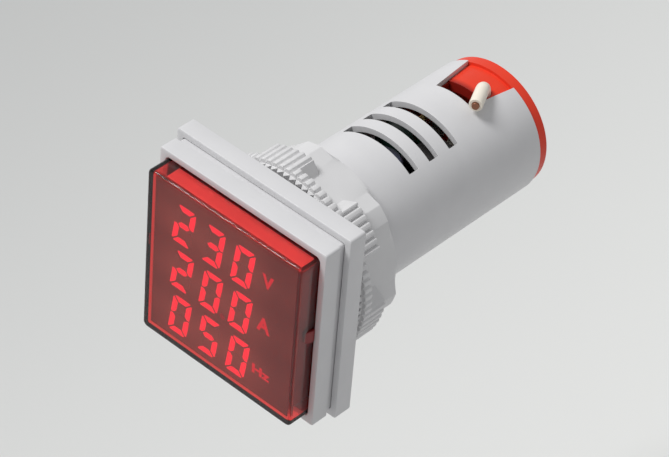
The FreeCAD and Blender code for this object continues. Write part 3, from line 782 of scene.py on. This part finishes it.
def add_gasket():
    """The gasket: a flat ring with rounded edges."""
    section = softened([
        (gasket_inner, gasket_front, 0.05), (gasket_outer, gasket_front, 0.05),
        (gasket_outer, gasket_rear, 0.2), (gasket_inner, gasket_rear, 0.2)])
    angles = np.linspace(0, 2 * math.pi, gasket_steps, endpoint=False)
    rings = round_rings(section[:, 0], section[:, 1], angles)
    faces = ring_faces(len(section), len(angles), True)
    add_piece("gasket_ring", rings.reshape(-1, 3), faces, "housing", "gasket_rubber", ["panel_gasket"])


def rib_share(angles):
    """How far each angle is from the middle of its rib: 0 there, and 1 halfway to the next."""
    return np.abs((angles / (2 * math.pi) * rib_count) % 1.0 - 0.5) * 2


def rib_height(angles):
    """The ribs' share of their height, from 0 between them to 1 on their flat tops."""
    rise = np.clip((1 - rib_share(angles)) / (1 - rib_flat_share), 0, 1)
    return rise * rise * (3 - 2 * rise)


def nut_hexagon(angles):
    """The hexagon's radius, cut off at its corners, and the angle from the middle of the nearest flat."""
    sixth = math.pi / 3
    off = (angles - math.radians(nut_turn) + sixth / 2) % sixth - sixth / 2
    return np.minimum(nut_flat / np.cos(off), nut_corner), np.abs(off)


def nut_lugs(angles, ribbed):
    """The ribbed outline near each corner of the hexagon, with straight sides down to the flats."""
    hexagon, off = nut_hexagon(angles)
    side = math.pi / 6 - math.radians(lug_half_angle)
    height = rib_tip * math.cos(side) - nut_flat
    along = rib_tip * math.sin(side)
    run = 1 / math.tan(math.radians(lug_slope))
    slope = ((nut_flat + height) * run - along) / (run * np.cos(off) - np.sin(off))
    return np.maximum(hexagon, np.where(off < side, np.minimum(slope, ribbed), ribbed))


def add_nut():
    """The nut: rows of radius and level over the angle, from the crown over the rim, lugs and hexagon."""
    angles = np.linspace(0, 2 * math.pi, rib_count * nut_columns, endpoint=False)
    ribbed = rib_tip - rib_depth * (1 - rib_height(angles))
    hexagon = nut_hexagon(angles)[0]
    lugs = nut_lugs(angles, ribbed)
    teeth = nut_front - (nut_front - nut_tips) * np.clip(tooth_gain * (1 - rib_share(angles)), 0, 1)
    chamfered = np.minimum(hexagon, nut_flat)
    soft = nut_soft
    eased = nut_eased * soft
    rows = [
        (nut_relief, nut_relief_end), (nut_relief, nut_front), (crown_inner, nut_front), (crown_inner, teeth),
        (crown_outer, teeth), (crown_outer, nut_front), (ribbed - soft, nut_front),
        (ribbed - eased, nut_front + eased), (ribbed, nut_front + soft), (ribbed, nut_rim_rear - soft),
        (ribbed - eased, nut_rim_rear - eased), (np.maximum(ribbed - soft, lugs), nut_rim_rear),
        (lugs, nut_rim_rear + nut_step), (lugs, nut_lug_rear - soft),
        (np.maximum(lugs - eased, hexagon), nut_lug_rear - eased),
        (np.maximum(lugs - soft, hexagon), nut_lug_rear), (hexagon, nut_lug_rear + nut_step),
        (hexagon, nut_rear - nut_chamfer), (chamfered - nut_step, nut_rear - nut_edge),
        (chamfered - soft, nut_rear), (nut_bore + nut_bore_chamfer, nut_rear),
        (nut_bore, nut_rear - nut_bore_chamfer), (nut_bore, nut_relief_end)]
    radii = np.array([np.broadcast_to(radius, angles.shape) for radius, level in rows])
    levels = np.array([np.broadcast_to(level, angles.shape) for radius, level in rows])
    rings = round_rings(radii, levels, angles)
    faces = ring_faces(len(rows), len(angles), True)
    add_piece("ribbed_nut", rings.reshape(-1, 3), faces, "nut", "nut_plastic", ["mounting_nut"])


def add_refined(name, node, body, edge):
    """A copy of a node's solid with its triangles merged, flat parts joined, and its edges rounded."""
    shape = bmesh.new()
    shape.from_mesh(frame["nodes"][node].data)
    bmesh.ops.remove_doubles(shape, verts=shape.verts, dist=solid_merge_distance)
    bmesh.ops.dissolve_limit(
        shape, angle_limit=math.radians(flat_angle), verts=shape.verts, edges=shape.edges)
    mesh = bpy.data.meshes.new(name)
    shape.to_mesh(mesh)
    shape.free()
    return add_object(name, mesh, body, node_slots[node], [node], edge)


def bar_outline(letter):
    """One bar of a seven-bar figure about the figure's centre, as (x, z) corners before the slant.

    Neighbouring bars meet at 45 degrees across bar_gap, and the figure's outer corners are cut by bar_corner.
    """
    w = figure_width / 2
    h = figure_height / 2
    s = bar_stroke
    m = bar_gap / math.sqrt(2)
    c = bar_corner
    half_gap = bar_gap / 2
    tip = w - s / 2 + half_gap - bar_gap * math.sqrt(2)
    if letter == "g":
        return np.array([
            (-tip, 0), (s / 2 - tip, s / 2), (tip - s / 2, s / 2), (tip, 0), (tip - s / 2, -s / 2),
            (s / 2 - tip, -s / 2)])
    if letter in "ad":
        right = [(w - c, h), (w - (c + m) / 2, h - (c - m) / 2), (w - s - m, h - s)]
        outline = np.array(right + [(-x, z) for x, z in right[::-1]])
    else:
        outline = np.array([
            (w - (c - m) / 2, h - (c + m) / 2), (w, h - c), (w, half_gap), (w - s / 2, half_gap),
            (w - s, half_gap + s / 2), (w - s, h - s - m)])
    flip = (-1 if letter in "ef" else 1, -1 if letter in "cde" else 1)
    return outline * flip


def add_figures():
    """Each row's lit bars: six-cornered prisms that stand a little proud of the display's face."""
    depths = (display_face - bar_proud, display_face + bar_depth)
    for row, (level, figures) in figure_rows.items():
        points = []
        faces = []
        for column, figure in zip(figure_columns, figures):
            for letter in lit_bars[figure]:
                outline = bar_outline(letter)
                corners = len(outline)
                lean = outline[:, 1] * math.tan(math.radians(figure_slant))
                x = column + outline[:, 0] + lean
                z = level + outline[:, 1]
                faces += prism_faces(corners, 2 * corners * len(points))
                ends = [np.stack([x, np.full(corners, y), z], axis=1) for y in depths]
                points.append(np.concatenate(ends))
        add_piece(
            row + "_figures", np.concatenate(points), faces, "housing", "lit_segment", [row + "_digits"])


def add_legends():
    """The unit letters on the display's face, dimmer than the digits, and the finish of the decimal point."""
    material = finish_material(
        "lit_legend", (0.3, 0.04, 0.05), rough=0.5, bump=0,
        Emission_Color=legend_glow, Emission_Strength=0.8)
    frame["nodes"]["decimal_point"].data.materials[0] = finish_material(
        "faint_point", (0.25, 0.1, 0.11), rough=0.5, bump=0,
        Emission_Color=legend_glow, Emission_Strength=0.2)
    for name, words, (left, right), (low, high) in legends:
        curve = bpy.data.curves.new(name, "FONT")
        curve.body = words
        curve.size = 1.0
        curve.offset = legend_weight
        text = bpy.data.objects.new(name + "_text", curve)
        bpy.context.scene.collection.objects.link(text)
        bpy.context.view_layer.update()
        mesh = bpy.data.meshes.new_from_object(text)
        bpy.data.objects.remove(text)
        flat = np.zeros(len(mesh.vertices) * 3)
        mesh.vertices.foreach_get("co", flat)
        flat = flat.reshape(-1, 3)
        start = flat[:, :2].min(axis=0)
        size = flat[:, :2].max(axis=0) - start
        across = left + (flat[:, 0] - start[0]) / size[0] * (right - left)
        upright = low + (flat[:, 1] - start[1]) / size[1] * (high - low)
        level = np.full(len(flat), display_face - legend_proud)
        mesh.vertices.foreach_set("co", (np.stack([across, level, upright], axis=1) * MM).ravel())
        mesh.update()
        mesh.materials.clear()
        mesh.materials.append(material)
        piece = bpy.data.objects.new(name, mesh)
        bpy.context.scene.collection.objects.link(piece)
        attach(piece, "housing")


node_slots = {part["node"]: part["material_slot"] for part in frame["record"]["subparts"]}
materials = make_materials()
for node, item in frame["nodes"].items():
    item.data.materials.clear()
    item.data.materials.append(materials[node_slots[node]])

add_camera()
add_stage()
add_bezel()
add_lens()
add_lens_tabs()
add_body()
add_gasket()
add_nut()
add_figures()
add_legends()
add_refined("rear_cap", "terminal_cap", "housing", 0.15)
add_refined("lead_jacket", "current_lead_sleeve", "housing", 0.08)
add_refined("lead_strand", "current_lead_core", "housing", 0.05)
for side in ("left", "right"):
    add_refined(side + "_brass_plate", "terminal_plate_" + side, "housing", 0.08)
    add_refined(side + "_wire_clamp", "clamp_plate_" + side, side + "_clamp", 0.1)
    add_refined(side + "_slotted_screw", "terminal_screw_" + side, side + "_screw", 0.08)
